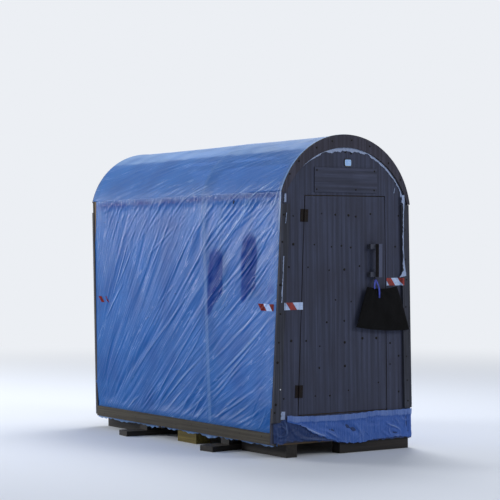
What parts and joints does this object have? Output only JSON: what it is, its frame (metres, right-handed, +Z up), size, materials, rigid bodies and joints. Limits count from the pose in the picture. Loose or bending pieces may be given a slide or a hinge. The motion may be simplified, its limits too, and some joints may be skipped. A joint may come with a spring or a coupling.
{
  "type": "ice fishing hut",
  "caption": "Home-made ice fishing hut: plywood ends with an arched top, a light timber frame, a stretched translucent sheet and one outward-opening door on timber runners.",
  "frame": {"origin": "on the ground, under the middle of the hut's overall box", "axes": "+Z up, the door looks along -Y, +X to the right seen from the door"},
  "size_m": [1.4866, 2.7366, 2.189],
  "materials": {
    "plywood": "weathered plywood, grey-brown, bare",
    "board": "weathered sawn board, bare",
    "framing": "sawn softwood, bare",
    "ground_timber": "damp dark timber",
    "yellow_timber": "yellowed softwood block",
    "sheet": "translucent white polythene sheet, semi-gloss",
    "cloth": "dark woven cloth",
    "bag_cloth": "black woven cloth",
    "clip_plastic": "blue moulded plastic",
    "hinge_steel": "rusted steel"
  },
  "bodies": {
    "hut": {"back_arch_crown": "plywood", "back_arch_sides": "plywood", "back_corner_boards": "board", "back_wall": "plywood", "corner_board_right": "board", "corner_boards_left": "board", "cover_crown": "sheet", "cover_haunch_left": "sheet", "cover_haunch_right": "sheet", "cover_left": "sheet", "cover_right": "sheet", "door_header": "framing", "door_posts": "framing", "eave_stringers": "framing", "end_sills": "framing", "floor_deck": "plywood", "floor_joists": "framing", "front_arch_crown": "plywood", "front_arch_left": "plywood", "front_arch_right": "plywood", "front_block": "ground_timber", "front_skirt": "sheet", "front_wall_left": "plywood", "front_wall_right": "plywood", "front_wall_sill": "plywood", "front_wall_top": "plywood", "hinge_wall_leaves": "hinge_steel", "hung_cloths": "cloth", "roof_hoops": "framing", "roof_purlins": "framing", "runners": "ground_timber", "side_battens": "board", "side_sills": "framing", "sign_board": "plywood", "sleeper_blocks": "ground_timber", "sleepers": "ground_timber", "wall_studs": "framing", "yellow_block": "yellow_timber"},
    "door": {"door_panel": "plywood", "door_ledges": "framing", "hinge_door_leaves": "hinge_steel", "handle_stand_offs": "board", "handle_bar": "board", "hanging_bag": "bag_cloth", "bag_clip": "clip_plastic"}
  },
  "joints": [
    {"name": "door_hinge", "type": "hinge", "parent": "hut", "child": "door", "pos_m": [-0.37488, -1.29964, 0.98838], "axis": [-0.0372, 0, -0.9993], "range_deg": [0, 110]}
  ]
}
